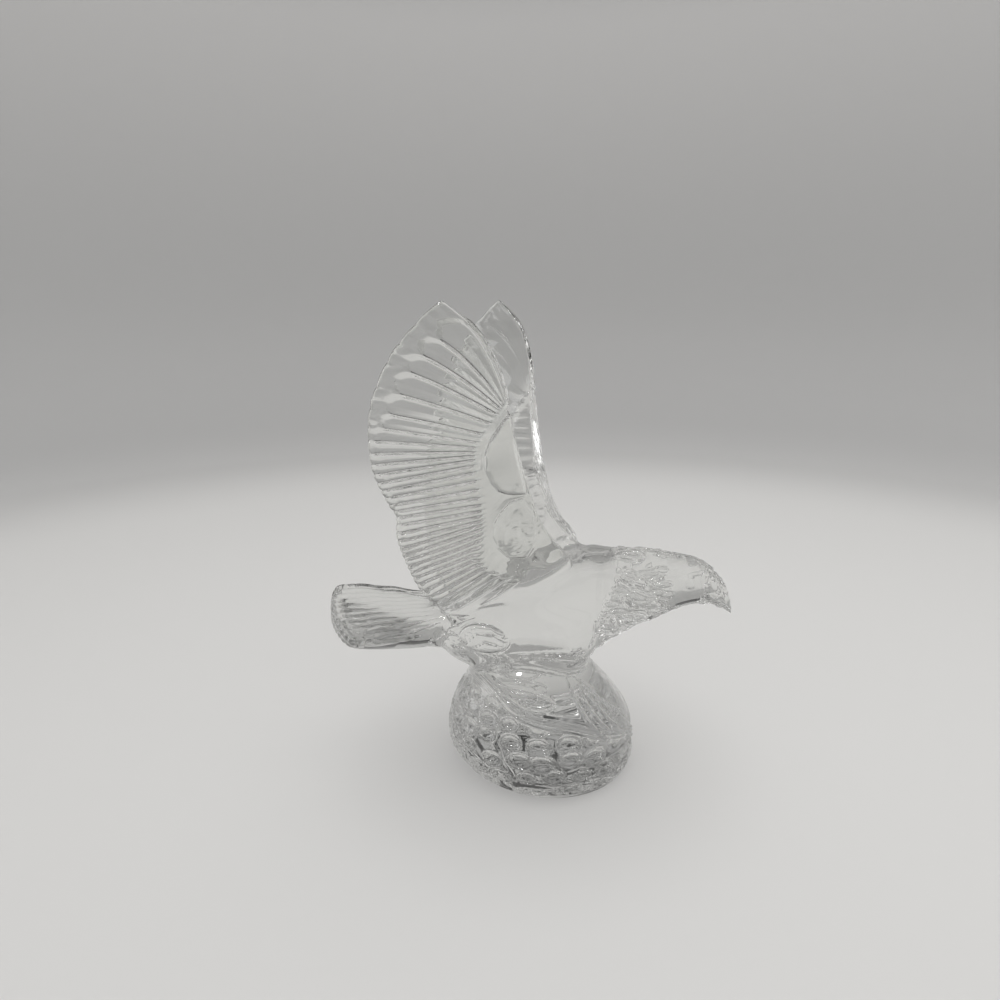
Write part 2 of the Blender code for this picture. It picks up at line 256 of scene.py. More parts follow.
def push_out(geometry, height):
    """Moves each point along the skin's normal, by a height in metres."""
    normal = geometry.node("GeometryNodeInputNormal")
    lift = geometry.node("ShaderNodeVectorMath", {"operation": "SCALE"}, {0: normal, "Scale": height})
    return geometry.node("GeometryNodeSetPosition", {}, {"Geometry": geometry, "Offset": lift})


def finish_press(geometry, material):
    """Ends a tree: instances made real, the material set, and the group's output."""
    real = geometry.node("GeometryNodeRealizeInstances", {}, {"Geometry": geometry})
    dressed = real.node("GeometryNodeSetMaterial", {}, {"Geometry": real, "Material": material})
    leave = dressed.tree.nodes.new("NodeGroupOutput")
    dressed.tree.links.new(dressed.socket, leave.inputs[0])


def pressed(target, tree, values):
    """Runs a tree on an object, and keeps what comes out as its plain mesh."""
    modifier = target.modifiers.new("pressing", "NODES")
    modifier.node_group = tree
    for item in tree.interface.items_tree:
        if item.in_out == "INPUT" and item.name in values:
            modifier[item.identifier] = values[item.name]
    depsgraph = bpy.context.evaluated_depsgraph_get()
    mesh = bpy.data.meshes.new_from_object(target.evaluated_get(depsgraph))
    target.modifiers.remove(modifier)
    old, target.data = target.data, mesh
    bpy.data.meshes.remove(old)
    return target


crystal = bpy.data.materials.new("clear_lead_crystal")

# The lattice follows the lip, so that its ripples run along the rows, and is closer set on
# the side of the near foot.
turns = np.linspace(-180, 180, 721)
density = 1.0 + 0.45 * (ease(turns, -165, -140) - ease(turns, 0, 25))
spread = np.concatenate([[0], np.cumsum((density[1:] + density[:-1]) / 2)])
angles = np.interp(np.arange(ROCK_COLUMNS) / ROCK_COLUMNS * spread[-1], spread, turns)
lip = through(APRON_LIP, angles)
below = np.linspace(0, 1, ROWS_BELOW_LIP, endpoint=False)[:, None] * (lip + LIP_BAND[0])
within = np.linspace(0, 1, ROWS_OF_LIP, endpoint=False)[:, None]
band = lip + LIP_BAND[0] + within * (LIP_BAND[1] - LIP_BAND[0])
apron = lip + LIP_BAND[1] + np.linspace(0, 1, ROWS_OF_APRON)[:, None] * (ROCK_TOP - lip - LIP_BAND[1])
heights = np.concatenate([below, band, apron])
angle_grid = np.broadcast_to(angles, heights.shape)
radius = through(ROCK_RADIUS, heights)


def rock_point(angle, height):
    """A point of the rock's plain side."""
    turn = np.radians(angle)
    reach = through(ROCK_RADIUS, height)
    return np.stack([through(ROCK_MIDDLE_X, height) + reach * np.cos(turn),
                     through(ROCK_MIDDLE_Y, height) + reach * np.sin(turn),
                     height + 0 * reach], -1)


climb = np.linspace(0, ROCK_TOP, 400)
climb_steps = np.hypot(np.diff(climb), np.diff(through(ROCK_RADIUS, climb)))
slope_length = np.concatenate([[0], np.cumsum(climb_steps)])


def meridian(height):
    """Length up the rock's side from its underside."""
    return np.interp(height, climb, slope_length)


def toe_relief(angle, height):
    """How high the toes stand at each place, and how far each place is from their outlines."""
    total = np.zeros_like(height)
    nearest = np.full_like(height, FAR)
    for (angle_a, height_a), (angle_b, height_b), half_width, tall in TOES:
        middle = through(ROCK_RADIUS, (height_a + height_b) / 2)
        start = np.array([math.radians(angle_a) * middle, meridian(height_a)])
        end = np.array([math.radians(angle_b) * middle, meridian(height_b)])
        length = np.linalg.norm(end - start)
        way = (end - start) / length
        u = np.radians(angle) * middle - start[0]
        v = meridian(height) - start[1]
        toe, away = leaf((u * way[0] + v * way[1]) / length, u * way[1] - v * way[0], half_width, tall)
        stacked = np.maximum(total, 0) + toe * (1 - TOE_OVERLAP * (total > 0))
        total = np.where(toe > 0, stacked, np.minimum(total, toe))
        nearest = np.where(np.abs(away) < np.abs(nearest), away, nearest)
    return total, nearest


def spur_relief(angle, height):
    """The round spur behind the toes, with a ring cut in it."""
    u = np.radians(angle - SPUR[0]) * through(ROCK_RADIUS, SPUR[1])
    v = meridian(height) - meridian(SPUR[1])
    away = np.hypot(u, v)
    return SPUR_HEIGHT * dome(away / SPUR_RADIUS) - 0.5 * bump(away, 1.5, 0.35)


from_lip = meridian(heights) - meridian(lip)[None, :]
ripples = LIP_RIPPLE * np.cos(2 * math.pi * from_lip / LIP_RIPPLE_PITCH) * bump(from_lip, 0.0, 2.0)
relief = LIP_SWELL * bump(from_lip, 0.0, 1.9) + ripples
toes, to_toe = toe_relief(angle_grid, heights)
relief = relief + toes + spur_relief(angle_grid, heights)
plain = rock_point(angle_grid, heights)
points = plain + outward(plain) * relief[..., None]
points[0] = plain[0]
points[-1] = plain[-1]
rock = skin("rock", points, {
    "angle": angle_grid + 0.0, "rise": meridian(heights), "radius": radius, "to_lip": -from_lip,
    "to_toe": to_toe})

# The thumbprints wander a little from their rows, and no two are quite alike.
start, sizes = press_tree("thumbprints", THUMBPRINTS)
angle, rise, reach, to_lip, to_toe = read(start, "angle", "rise", "radius", "to_lip", "to_toe")
hollow = 0.0
outline = FAR
for row, (at, count, half_width, half_height, depth) in enumerate(DIMPLE_ROWS):
    place = (angle + 180.0) * (count / 360.0) + DIMPLE_STAGGER * row
    cell = place.math("ROUND")
    chance = cell.math("MODULO", float(count)).chances(4, 11 + 7 * row)
    side = place - cell
    side = side * (2 * math.pi / count) * reach - chance[0] * sizes["Wander"] * half_width * 0.3
    up = rise - at - chance[1] * sizes["Wander"]
    stretch = 1.0 + chance[2] * 0.22
    q = (side / (stretch * half_width)) ** 2.0 + (up / (stretch * half_height)) ** 2.0
    cup = (1.0 - q * q).math("MAXIMUM", 0.0)
    rim = ((q - 1.15) / 0.16).bell()
    hollow = hollow + cup * depth * (1.0 + 0.35 * chance[3]) - rim * DIMPLE_RIM
    outline = ((q ** 0.5 - 1.06) * half_height).math("MINIMUM", outline)
hollow = hollow * to_lip.step(2.0, 3.8) * sizes["Depth"]
dimpled = push_out(start, hollow * -MM)
below_lip = to_lip.step(1.4, 1.5)
outline = outline * below_lip + to_toe * (1.0 - below_lip)
finish_press(keep(dimpled, "outline", OUTLINE_AT - outline), crystal)
pressed(rock, start.tree, THUMBPRINTS)


# ---- the body, neck and head
# The body rises out of the rock and runs on into a long neck and a hooked beak. The breast
# is left smooth, and the neck's short feathers are small lens-shaped cuts in staggered rows.

BODY = ((-37, (56.5, 42.0, 5.0, -4.0)), (-30, (59.5, 36.0, 10.5, -2.0)),
        (-20, (62.5, 32.0, 13.0, -0.5)), (-8, (66.5, 30.0, 14.6, 0.0)),
        (4, (73.0, 31.5, 14.8, 0.0)), (13, (76.6, 36.0, 13.4, 0.0)),
        (20, (77.0, 44.5, 11.4, 0.0)), (27, (77.2, 50.0, 10.0, 0.0)),
        (36, (77.2, 55.2, 9.0, 0.0)), (44, (76.7, 59.2, 8.0, 0.0)),
        (49, (75.8, 60.9, 7.0, 0.0)), (53, (73.6, 61.2, 5.3, 0.0)),
        (57, (69.6, 60.1, 3.4, 0.0)), (59.6, (64.6, 58.9, 2.0, 0.0)),
        (60.6, (60.2, 58.2, 0.8, 0.0)))
BODY_POWER = ((-37, 2.0), (-20, 2.6), (5, 3.2), (14, 3.2), (24, 2.3), (60.6, 2.0))
BODY_SIDES = 168
# Sections stand closest together along the feathered neck and the head.
BODY_SECTIONS = ((0, -37.0), (24, -9.0), (52, 16.0), (138, 60.55))
# How the flanks run down into the rock: a wide fillet on the left, a tight one on the right.
FLARE_BLEND = {-1: 3.0, 1: 8.0}
FLARE_MOST = {-1: 1.6, 1: 4.5}
# Where the neck's feathered part starts, by height, and where the smooth cheek starts.
COLLAR_X = ((44, 18.5), (50, 18.8), (56, 18.3), (62, 20.5), (70, 23.0), (78, 21.5))
CHEEK_X = 42.5
EYE = (47.2, 69.6)
NOSTRIL = (53.4, 70.6)
# Strokes cut on the right flank where it meets the rock, in side view: (points, width, depth).
STROKES = ((((-16, 41.2), (-6, 43.6), (3, 45.0), (9, 45.2), (13, 44.3), (15.5, 42.6)), 0.45, 0.5),
           (((-15, 40.8), (-5, 42.2), (3, 42.9), (8, 42.0), (12, 41.6), (15, 42.0)), 0.45, 0.5),
           (((-8, 42.8), (0, 43.9), (5, 44.1)), 0.35, 0.3),
           (((11.4, 46.6), (13.6, 44.2)), 0.4, 0.4), (((12.8, 46.9), (14.6, 44.4)), 0.4, 0.4),
           (((14.2, 46.9), (15.4, 44.8)), 0.4, 0.35),
           (((17.2, 47.5), (18.4, 51.5), (18.5, 56.0)), 0.5, 0.5),
           (((-23, 46.2), (-19.5, 50.0), (-14, 50.6), (-10.5, 48.6)), 0.5, 0.55),
           (((-20.5, 44.8), (-16.5, 47.8), (-12.5, 46.9)), 0.45, 0.5))
STROKE_LEAF = ((4.5, 43.6), (13.5, 43.2), 1.3, 0.45)
THIGH = ((-17.5, 48.0), 8.5, 5.2)
NEAR_THIGH_HEIGHT = 2.4
FAR_THIGH_HEIGHT = 2.0
CURL = (-27.5, 47.0)
CURL_PITCH = 2.6
# Relief on the flanks stops this far from the middle plane.
FLANK_FROM_Y = 2.0
COLLAR_LIFT = 0.35
CERE_X = 50.6
CERE_DEPTH = 0.45
MOUTH_DEPTH = 0.55
NOSTRIL_DEPTH = 0.8
BROW_HEIGHT = 0.6
MOUTH = ((48.5, 62.7), (51, 63.1), (54, 63.6), (57, 63.2), (59.5, 61.8))
BROW = ((43, 71.8), (47, 73.0), (52, 73.6))
EYE_RADIUS = 1.3
# Neck feathers: how far apart they stand along the neck and round it, and how they are pressed.
FEATHER_PITCH = 7.4
FEATHER_ROW = 3.6
NECK_FEATHERS = {"Length": 6.6, "Width": 2.0, "Outline": 0.35, "Swell": 0.35, "Missing": -0.4,
                 "Beak dents": 2.2}


def from_path(x, z, path):
    """Distance to a path of straight runs."""
    nearest = np.full(np.shape(x), 1e9)
    for (ax, az), (bx, bz) in zip(path[:-1], path[1:]):
        t = ((x - ax) * (bx - ax) + (z - az) * (bz - az)) / ((bx - ax) ** 2 + (bz - az) ** 2)
        t = np.clip(t, 0, 1)
        nearest = np.minimum(nearest, np.hypot(x - ax - t * (bx - ax), z - az - t * (bz - az)))
    return nearest


def rock_chord(x, z):
    """Half the rock's width along Y at a place, 0 outside it."""
    away = x - through(ROCK_MIDDLE_X, z)
    return np.sqrt(np.clip(through(ROCK_RADIUS, z) ** 2 - away ** 2, 0, None)) * (1 - ease(z, 44, 52))


stations = np.interp(np.arange(BODY_SECTIONS[-1][0] + 1), *zip(*BODY_SECTIONS))
turns = np.linspace(math.pi / 2, 2.5 * math.pi, 1441)
top, bottom, half_width, bend = (through(BODY, stations)[:, k][:, None] for k in range(4))
power = 2 / through(BODY_POWER, stations)[:, None]
side, up = np.cos(turns)[None, :], np.sin(turns)[None, :]
side, up = np.sign(side) * np.abs(side) ** power, np.sign(up) * np.abs(up) ** power
out = half_width * np.abs(side)
level = (top + bottom) / 2 + (top - bottom) / 2 * up
chord = rock_chord(stations[:, None] + 0 * out, level)
for which in (-1, 1):
    blend, most = FLARE_BLEND[which], FLARE_MOST[which]
    joined = np.maximum(out, chord) + np.clip(blend - np.abs(out - chord), 0, None) ** 2 / (4 * blend)
    lift = most * np.tanh((joined - out) / most) * (out / half_width) ** 2
    out = np.where(np.sign(side) == which, out + lift, out)
ring_y = bend + out * np.sign(side)
run_y, run_z = (np.diff(grid, prepend=grid[:, :1]) for grid in (ring_y, level))
lengths = np.cumsum(np.hypot(run_y, run_z), axis=1)
shares = np.arange(BODY_SIDES) / BODY_SIDES
x = stations[:, None] + 0 * shares[None, :]
y = np.stack([np.interp(shares * row[-1], row, ring) for row, ring in zip(lengths, ring_y)])
z = np.stack([np.interp(shares * row[-1], row, ring) for row, ring in zip(lengths, level)])
around = (shares - (shares > 0.5))[None, :] * lengths[:, -1:]
plain = np.stack([x, y, z], -1)
normal = outward(plain)

collar = through(COLLAR_X, z)
feathered = ease(x, collar, collar + 4.0)
lifted = COLLAR_LIFT * feathered * (1 - ease(x, CHEEK_X - 8, CHEEK_X + 3))
relief = lifted - 0.35 * bump(x, collar + 0.2, 0.5) * (1 - ease(z, 57, 62))
# Beak: it stands in from the head at the cere, with a mouth line, nostrils and brows.
cere = CERE_X - 0.016 * (z - 66) ** 2
relief = relief - CERE_DEPTH * ease(x, cere, cere + 0.8) * (1 - ease(x, 56, 60))
mouth = through(MOUTH, x)
gape = ease(x, 49, 50.5) * (1 - ease(x, 57.5, 59.5))
relief = relief - MOUTH_DEPTH * bump(z, mouth, 0.45) * gape
from_nostril = ((x - NOSTRIL[0]) / 1.3) ** 2 + ((z - NOSTRIL[1]) / 0.8) ** 2
relief = relief - NOSTRIL_DEPTH * np.exp(-from_nostril)
brow = through(BROW, x)
relief = relief + BROW_HEIGHT * bump(z, brow, 0.8) * ease(x, 42, 44.5) * (1 - ease(x, 51, 53))
from_eye = np.hypot(x - EYE[0], z - EYE[1])
relief = relief + 0.5 * dome(from_eye / EYE_RADIUS) - 0.35 * bump(from_eye, 1.8, 0.4)
strokes = np.zeros_like(x)
to_stroke = np.full_like(x, FAR)
for path, width, depth in STROKES:
    away = from_path(x, z, path)
    strokes = np.minimum(strokes, -depth * bump(away, 0, width))
    to_stroke = np.minimum(to_stroke, away)
(leaf_x, leaf_z), (leaf_x_end, leaf_z_end), leaf_half, leaf_height = STROKE_LEAF
leaf_length = math.hypot(leaf_x_end - leaf_x, leaf_z_end - leaf_z)
way_x, way_z = (leaf_x_end - leaf_x) / leaf_length, (leaf_z_end - leaf_z) / leaf_length
leaf_relief, to_leaf = leaf(((x - leaf_x) * way_x + (z - leaf_z) * way_z) / leaf_length,
                            (z - leaf_z) * way_x - (x - leaf_x) * way_z, leaf_half, leaf_height)
relief = relief + (strokes + leaf_relief) * (y < 0)
to_stroke = np.where(y < 0, np.minimum(to_stroke, np.abs(to_leaf)), FAR)
(thigh_x, thigh_z), thigh_long, thigh_tall = THIGH
q = np.hypot((x - thigh_x) / thigh_long, (z - thigh_z) / thigh_tall)
near_thigh = NEAR_THIGH_HEIGHT * dome(q) - 0.5 * bump(q, 1.1, 0.1)
far_thigh = FAR_THIGH_HEIGHT * np.clip(1 - q * q, 0, 1) ** 2
relief = relief + np.where(y < 0, near_thigh, far_thigh)
from_curl = np.hypot(x - CURL[0], z - CURL[1])
turn = np.arctan2(z - CURL[1], x - CURL[0])
curl = np.cos(2 * math.pi * from_curl / CURL_PITCH - turn) * (1 - ease(from_curl, 3.5, 6.0))
relief = np.where(np.abs(y) > FLANK_FROM_Y, relief + curl, lifted)
to_thigh = (q - 1.0) * 6.0
nearer = (y < -FLANK_FROM_Y) & (np.abs(to_thigh) < np.abs(to_stroke))
to_stroke = np.where(nearer, to_thigh, to_stroke)
points = plain + normal * relief[..., None]
body = skin("body", points, {
    "x": x, "z": z, "around": around, "feathered": feathered, "to_stroke": to_stroke})

# Feathers: lens-shaped outlines, staggered from row to row, deeper under the throat.
start, sizes = press_tree("neck_feathers", NECK_FEATHERS)
x, z, around, feathered, to_stroke = read(start, "x", "z", "around", "feathered", "to_stroke")
relief = 0.0
outline = FAR
for layer in range(2):
    column = x / FEATHER_PITCH + 0.5 * layer + 0.2 * (around * 0.6).math("SINE")
    row = around / FEATHER_ROW + 0.5 * layer + 0.2 * (x * 0.31).math("SINE")
    whole_column, whole_row = column.math("ROUND"), row.math("ROUND")
    chance = (whole_column * 97.0 + whole_row).chances(4, 5 + 9 * layer)
    along = (column - whole_column) * FEATHER_PITCH - chance[0] * 1.2
    across = (row - whole_row) * FEATHER_ROW - chance[1] * 0.6 - chance[3] * 0.1 * along
    q = (along / (sizes["Length"] / 2.0)) ** 2.0 + (across / (sizes["Width"] / 2.0)).math("ABSOLUTE")
    ring = ((q - 1.0) / 0.32).bell() * sizes["Outline"]
    swell = (1.0 - q).math("MAXIMUM", 0.0) * sizes["Swell"]
    scarce = sizes["Missing"] + 1.4 * x.step(35.0, 47.0) + 0.9 * (1.0 - feathered)
    present = chance[2].step(scarce, scarce + 0.1)
    relief = relief + (swell - ring) * present
    outline = ((q - 1.0) * 0.8 + FAR * (1.0 - present)).math("MINIMUM", outline)
zone = feathered.step(0.0, 0.3) * (1.0 - x.step(43.0, 46.5))
throat = (63.5 + (x - 20.0) * 0.05 - z).step(0.0, 7.0)
outline = (outline + FAR * (1.0 - zone)).math("MINIMUM", to_stroke)
place = start.node("GeometryNodeInputPosition")
dents = (place.noise(330.0, 1.0) - 0.5) * sizes["Beak dents"]
dents = dents * x.step(49.5, 51.5) * (1.0 - x.step(57.0, 59.5))
feathery = push_out(start, (relief * zone * (1.15 + 0.2 * throat) + dents) * MM)
finish_press(keep(feathery, "outline", OUTLINE_AT - outline), crystal)
pressed(body, start.tree, NECK_FEATHERS)


# ---- the two wings
# Each wing is a thick blade, raised and leaning out. Six broad feathers fan out at its tip
# and narrow ones follow down to its root. In front of them stand two raised shields, the
# coverts.

WING_FRONT = ((0, (-8.2, 125.5)), (8, (-6.2, 114.5)), (16, (-3.6, 101.0)), (24, (0.2, 89.0)),
              (29, (5.4, 80.5)), (32, (11.5, 75.0)))
WING_INNER = ((0, (-8.5, 127.0)), (3, (-10.8, 123.5)), (6, (-16.3, 115.5)), (11, (-17.5, 108.9)),
              (16, (-16.2, 96.0)), (22, (-16.2, 86.5)), (28, (-15.6, 75.5)), (32, (-5.0, 70.5)))
WING_OUTER = ((0, (-23.6, 155.0)), (1, (-30.0, 149.0)), (3, (-38.0, 139.0)), (5, (-44.4, 126.0)),
              (9, (-46.4, 109.3)), (14, (-43.8, 96.0)), (16, (-42.3, 91.7)), (19, (-43.4, 83.0)),
              (25, (-41.2, 68.0)), (28, (-37.6, 60.0)), (32, (-28.5, 51.6)))
FEATHERS = 32
BROAD_FEATHERS = 6
# Where the lines of the skin stand across one feather: closest at its grooves and its vein.
BROAD_PHASES = (0, 0.035, 0.08, 0.15, 0.25, 0.38, 0.46, 0.5, 0.54, 0.62, 0.75, 0.85, 0.92, 0.965)
NARROW_PHASES = (0, 0.07, 0.19, 0.34, 0.5, 0.66, 0.81, 0.93)
WING_ROOT_Y = 8.8
WING_TIP_Y = 37.2
LEAN_FROM_Z = 70.0
LEAN_TO_Z = 156.0
LEAN_POWER = 1.8
SPLAY = 0.42
FRONT_LINE_X = ((50, 12.0), (79.5, 6.6), (90, 0.4), (101, -3.4), (125, -8.2), (140, -11.0),
                (147, -15.0), (156, -23.5))
WING_THICK_FRONT = {-1: ((0, 1.4), (4, 2.6), (8, 5.0), (16, 6.0), (32, 6.0)),
                    1: ((0, 3.8), (4, 5.4), (8, 6.0), (16, 6.0), (32, 6.0))}
WING_THICK_OUTER = ((0, 1.4), (3, 2.0), (16, 2.3), (32, 3.6))
FEATHER_RIM = ((0, 0.35), (6, 0.4), (16, 0.7), (32, 0.5))
BAR_PITCH = 3.3
FEATHER_BOW = ((0, 4.4), (2, 2.6), (6, 0.4), (32, 0.0))
BOW_PEAK = 0.64
EDGE_ROUND = 0.55
HEM_ROUND = 0.8
HEM_TURN = {-1: 80.0, 1: 36.0}
WING_ROOT_DEPTH = 7.0
WING_ROOT_INSET = 3.0
FRONT_SHARE = 0.3
# The coverts' outlines on the outer face, in side view.
UPPER_SHIELD = ((-7.4, 123.6), (-10.4, 119.6), (-13.2, 115.1), (-14.6, 110.5), (-14.6, 106.2),
                (-13.2, 102.2), (-11.4, 99.6), (-9.2, 98.6), (-6.4, 98.2), (-3.6, 98.4), (-4.9, 106),
                (-6.3, 115))
LOWER_SHIELD = ((-4.5, 96.8), (-8.0, 95.8), (-10.8, 92.4), (-12.9, 88.7), (-13.4, 84.6),
                (-11.9, 80.6), (-8.5, 77.2), (-3.8, 77.4), (-1.4, 81), (-0.6, 86), (-1.6, 92))
BROAD_RIB = 2.1
VEIN_DEPTH = 0.35
FOLD_HEIGHT = 0.34
BELLY_HEIGHT = 1.6
SHIELD_GROOVE = 0.35
# The grooves between feathers are stored as outlines are, with this number in their middle.
GROOVE_AT = 1.5
# Bands of height over which a part of the relief fades in or out.
FOLDS_END = (92, 97)
BELLY_ENDS = (77, 84)
BARS_BEGIN = (84, 90)
BARS_END = (122, 128)
STREAKS_END = (102, 106)
WING_PRESS = {-1: {"Outer ribs": 0.8, "Inner bars": 0.0, "Shield": 0.6, "Rim ripple": 1.4,
                   "Cut": 1.0, "Fade": 0.0},
              1: {"Outer ribs": 0.25, "Inner bars": 0.22, "Shield": 0.6, "Rim ripple": 1.4,
                  "Cut": 0.0, "Fade": 1.0}}


def wing_y(x, z):
    """How far the wing's middle surface stands off the middle plane."""
    lean = np.clip((z - LEAN_FROM_Z) / (LEAN_TO_Z - LEAN_FROM_Z), 0, 1) ** LEAN_POWER
    front = WING_ROOT_Y + (WING_TIP_Y - WING_ROOT_Y) * lean
    return front + SPLAY * ease(z, 50, 110) * (through(FRONT_LINE_X, z) - x)


def inside_outline(x, z, outline):
    """Distance to a closed outline, positive inside."""
    corners = np.array(outline, float)
    within = np.zeros(x.shape, bool)
    for (ax, az), (bx, bz) in zip(corners, np.roll(corners, -1, axis=0)):
        if az != bz:
            crosses = (az > z) != (bz > z)
            within ^= crosses & (x < (bx - ax) * (z - az) / (bz - az) + ax)
    away = from_path(x, z, np.concatenate([corners, corners[:1]]))
    return np.where(within, away, -away)


def wing_shape(side):
    """One wing's closed skin before its feathers are pressed, row by row from tip to root."""
    counts = [broad + phase for broad in range(BROAD_FEATHERS) for phase in BROAD_PHASES]
    counts += [narrow + phase for narrow in range(BROAD_FEATHERS, FEATHERS) for phase in NARROW_PHASES]
    counts = np.array([-0.03, -0.02, -0.01] + counts + [FEATHERS], float)
    # The first rows round off the tip feather's front edge.
    hem = np.zeros(len(counts))
    hem[:3] = np.radians(HEM_TURN[side] * np.array([1, 0.65, 0.32]))
    corner = np.radians([0, 0, 30, 60, 90])
    insets = EDGE_ROUND * (1 - np.cos(corner))
    drops = EDGE_ROUND * (1 - np.sin(corner)) + np.array([0.2, 0, 0, 0, 0])
    shares_out = np.interp(np.linspace(0, 1, 40), (0, 0.42, 0.54, 0.78, 1),
                           (0.02, FRONT_SHARE, 0.37, 0.84, 0.985))
    shares_in = np.concatenate([np.linspace(0.03, FRONT_SHARE, 7),
                                np.linspace(FRONT_SHARE + 0.07, 0.98, 13)])
    phase = counts % 1.0
    ribbed = np.sin(math.pi * phase) ** 0.6
    front, spring, end = (through(line, counts) for line in (WING_FRONT, WING_INNER, WING_OUTER))
    ray = end - spring
    reach = np.linalg.norm(ray, axis=1, keepdims=True)
    end = end - ray / reach * (through(FEATHER_RIM, counts) * (1 - ribbed))[:, None]
    bow = through(FEATHER_BOW, counts)[:, None]
    thick_front = through(WING_THICK_FRONT[side], counts)
    thick_outer = through(WING_THICK_OUTER, counts)

    def face(shares, way):
        """One face, outer 1 or inner -1: points, shares across, widths from the front, and way."""
        row_points, row_shares, row_fronts = [], [], []
        width = np.linalg.norm(spring - front, axis=1) + reach[:, 0]
        listed = [(None, inset, drop) for inset, drop in zip(insets, drops)]
        listed += [(share, 0.0, 0.0) for share in shares]
        listed += [(1.0, inset, drop) for inset, drop in zip(insets[::-1], drops[::-1])]
        for share, inset, drop in listed:
            s = np.full(counts.shape, share if share is not None else 0.0)
            if share is None:
                s = s + inset / np.maximum(np.linalg.norm(spring - front, axis=1), 1.5) * FRONT_SHARE
            elif share == 1.0:
                s = s - inset / reach[:, 0] * (1 - FRONT_SHARE)
            before = np.clip(s / FRONT_SHARE, 0, 1)[:, None]
            after = np.clip((s - FRONT_SHARE) / (1 - FRONT_SHARE), 0, 1)[:, None]
            t = np.where(after < BOW_PEAK, after / BOW_PEAK, (1 - after) / (1 - BOW_PEAK))
            place = front + (spring - front) * before + (end - spring) * after
            place = place + np.concatenate([bow * np.sin(math.pi / 2 * t), 0 * t], 1)
            place = place + (HEM_ROUND * np.sin(hem))[:, None] * np.array([0.89, 0.46])
            px, pz = place[:, 0], place[:, 1]
            py = wing_y(px, pz)
            across = np.stack([-(wing_y(px + 0.5, pz) - wing_y(px - 0.5, pz)), np.ones_like(px),
                               -(wing_y(px, pz + 0.5) - wing_y(px, pz - 0.5))], -1)
            across /= np.linalg.norm(across, axis=1, keepdims=True)
            thick = (thick_front + (thick_outer - thick_front) * ease(s, 0.1, 1.0)) * np.cos(hem)
            spot = np.stack([px, py, pz], -1) + across * (way * (thick / 2 - drop * np.cos(hem)))[:, None]
            row_points.append(spot)
            row_shares.append(s)
            row_fronts.append(np.linalg.norm(place - front, axis=1))
        ways = np.full((len(counts), len(listed)), float(way))
        return np.stack(row_points, 1), np.stack(row_shares, 1), np.stack(row_fronts, 1), ways

    points, share, from_front, facing = (
        np.concatenate([outer, inner[:, ::-1]], 1)
        for outer, inner in zip(face(shares_out, 1), face(shares_in, -1)))
    root = points[-1:] + np.array([0, -WING_ROOT_INSET, -WING_ROOT_DEPTH])
    half_way = (points[-1:] + root) / 2
    points = np.concatenate([points, half_way, root])
    share, facing, from_front = (
        np.concatenate([grid, grid[-1:], grid[-1:]]) for grid in (share, facing, from_front))
    count_grid = np.concatenate([counts, [FEATHERS + 0.5, FEATHERS + 1.0]])[:, None] + 0 * share
    upper, lower = (inside_outline(points[..., 0], points[..., 2], outline)
                    for outline in (UPPER_SHIELD, LOWER_SHIELD))
    pitch = np.linalg.norm(np.gradient(points, axis=0), axis=2) / np.gradient(count_grid, axis=0)
    points = points * np.array([1, side, 1])
    stored = {"share": share, "facing": facing, "count": count_grid,
              "shield": np.maximum(upper, lower), "pitch": pitch, "from_front": from_front}
    if side > 0:
        points = points[:, ::-1]
        stored = {label: grid[:, ::-1] for label, grid in stored.items()}
    return points, stored


def above(height, band):
    """0 below a band given in millimetres, 1 above it."""
    return height.step(band[0] * MM, band[1] * MM)


